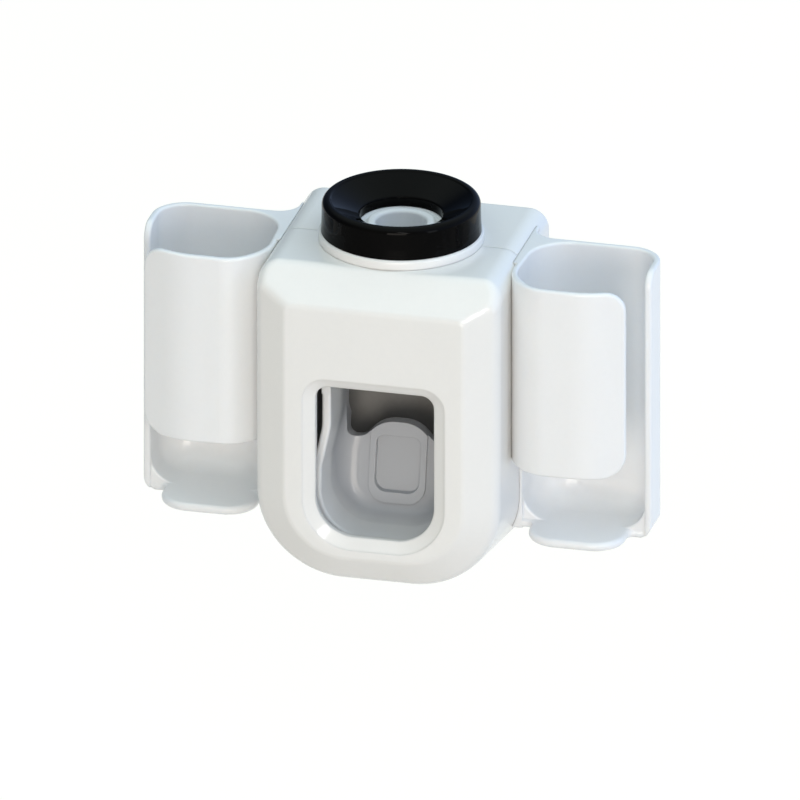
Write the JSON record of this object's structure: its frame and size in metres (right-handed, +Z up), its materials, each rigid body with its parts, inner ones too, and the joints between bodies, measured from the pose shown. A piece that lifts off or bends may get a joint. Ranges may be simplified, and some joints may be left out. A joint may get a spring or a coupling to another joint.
{
  "type": "toothpaste dispenser",
  "caption": "Wall-mounted toothpaste dispenser: a bevelled centre body with a funnel inlet, a push lever in a front window that works a pump, and an open brush holder on each side.",
  "frame": {"origin": "centre of the adhesive pad's wall face", "axes": "+Z up, +Y into the wall, -Y to the front, +X to the right seen from the front"},
  "size_m": [0.125, 0.055, 0.09],
  "materials": {
    "white_body": "semi-gloss moulded",
    "black_ring": "polished",
    "white_silicone": "satin silicone",
    "black_silicone": "satin silicone",
    "lever_plastic": "semi-gloss moulded",
    "grey_frame": "fine matte texture",
    "steel": "bright steel",
    "plate_plastic": "satin",
    "adhesive": "matte acrylic foam"
  },
  "bodies": {
    "wall_mount": {"wall_plate": "plate_plastic", "adhesive_pad": "adhesive"},
    "housing": {"front_shell": "white_body", "rear_shell": "white_body", "inner_frame": "grey_frame", "left_brush_holder": "white_body", "right_brush_holder": "white_body", "pump_head": "white_body", "inlet_seal": "white_silicone", "inlet_valve": "white_silicone", "neck_o_ring": "black_silicone", "pump_bellows": "white_silicone", "return_spring": "steel", "shell_screws": "steel", "lever_pivot_pin": "steel", "pivot_clips": "steel"},
    "funnel": {"funnel_ring": "black_ring"},
    "lever": {"push_lever": "lever_plastic"},
    "carriage": {"nozzle_carriage": "lever_plastic", "bellows_clamp_ring": "lever_plastic", "outlet_duckbill": "white_silicone"}
  },
  "joints": [
    {"name": "wall_release", "type": "slide", "parent": "wall_mount", "child": "housing", "axis": [0, 0, 1], "range_m": [0, 0.01]},
    {"name": "lever_push", "type": "hinge", "parent": "housing", "child": "lever", "pos_m": [0, -0.043, 0.0095], "axis": [1, 0, 0], "range_deg": [0, 13], "stiffness_Nm_per_rad": 0.35, "springref_deg": -6.02},
    {"name": "carriage_lift", "type": "slide", "parent": "housing", "child": "carriage", "axis": [0, 0, 1], "range_m": [0, 0.00358], "deforming": ["pump_bellows", "return_spring"]},
    {"name": "ring_lift", "type": "slide", "parent": "housing", "child": "funnel", "axis": [0, 0, 1], "range_m": [0, 0.012]}
  ],
  "couplings": [
    {"joint": "carriage_lift", "follows": "lever_push", "m_per_rad": 0.01577}
  ]
}
